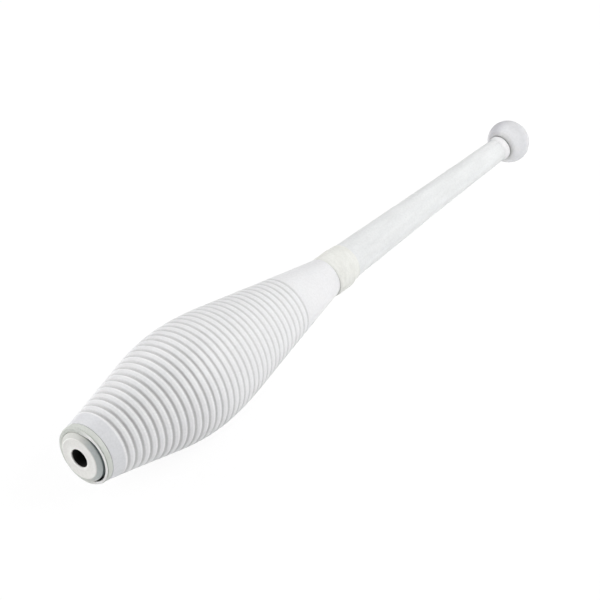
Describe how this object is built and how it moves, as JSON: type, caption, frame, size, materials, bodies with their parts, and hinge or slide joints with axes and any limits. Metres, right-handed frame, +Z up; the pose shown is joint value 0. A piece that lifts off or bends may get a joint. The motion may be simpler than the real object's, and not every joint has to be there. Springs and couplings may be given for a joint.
{
  "type": "juggling club",
  "caption": "White juggling club with a ribbed hollow body, wooden core, wrapped handle, ball knob and end cap clipped over a screwed hub.",
  "frame": {"origin": "on the club's axis, halfway between the end cap's face and the knob's flat", "axes": "+Y along the club from the end cap to the knob, +Z up with the club lying down, +X to the right when looking along +Y"},
  "size_m": [0.0814, 0.5182, 0.0814],
  "materials": {
    "ribbed_white_polyethylene": "satin moulded, slightly bluish white",
    "cream_ring_plastic": "satin, greenish cream",
    "white_cap_plastic": "satin, warm white",
    "black_hub_plastic": "matt black",
    "beech_wood": "turned beech, unfinished",
    "white_tube_plastic": "extruded, natural white",
    "grip_foam": "thin closed-cell foam",
    "white_wrap_film": "soft sheen film, finely creased",
    "neck_bush_wood": "turned beech",
    "bare_steel": "plain steel",
    "cream_tape": "cream vinyl-coated cloth tape",
    "white_tape": "white vinyl tape",
    "grey_white_knob_plastic": "satin, cool grey white",
    "zinc_plated_steel": "zinc plated"
  },
  "bodies": {
    "club": {"body_shell": "ribbed_white_polyethylene", "end_ring": "cream_ring_plastic", "end_cap": "white_cap_plastic", "end_hub": "black_hub_plastic", "core_dowel": "beech_wood", "handle_tube": "white_tube_plastic", "handle_padding": "grip_foam", "handle_wrap": "white_wrap_film", "neck_bush": "neck_bush_wood", "neck_tack_1": "bare_steel", "neck_tack_2": "bare_steel", "neck_tack_3": "bare_steel", "neck_tack_4": "bare_steel", "neck_tape": "cream_tape", "knob_tape": "white_tape", "knob": "grey_white_knob_plastic"},
    "end_washer": {"end_washer": "zinc_plated_steel"},
    "end_screw": {"end_screw": "zinc_plated_steel"},
    "knob_washer": {"knob_washer": "zinc_plated_steel"},
    "knob_screw": {"knob_screw": "zinc_plated_steel"}
  },
  "joints": [
    {"name": "end_screw_feed", "type": "slide", "parent": "club", "child": "end_washer", "axis": [0, -1, 0], "range_m": [0, 0.03]},
    {"name": "end_screw_turn", "type": "hinge", "parent": "end_washer", "child": "end_screw", "pos_m": [0, -0.2428, 0], "axis": [0, -1, 0], "range_deg": [0, 5405]},
    {"name": "knob_screw_feed", "type": "slide", "parent": "club", "child": "knob_washer", "axis": [0, 1, 0], "range_m": [0, 0.018]},
    {"name": "knob_screw_turn", "type": "hinge", "parent": "knob_washer", "child": "knob_screw", "pos_m": [0, 0.2515, 0], "axis": [0, 1, 0], "range_deg": [0, 3605]}
  ],
  "couplings": [
    {"joint": "end_screw_turn", "follows": "end_screw_feed", "rad_per_m": 3141.6},
    {"joint": "knob_screw_turn", "follows": "knob_screw_feed", "rad_per_m": 3490.7}
  ]
}
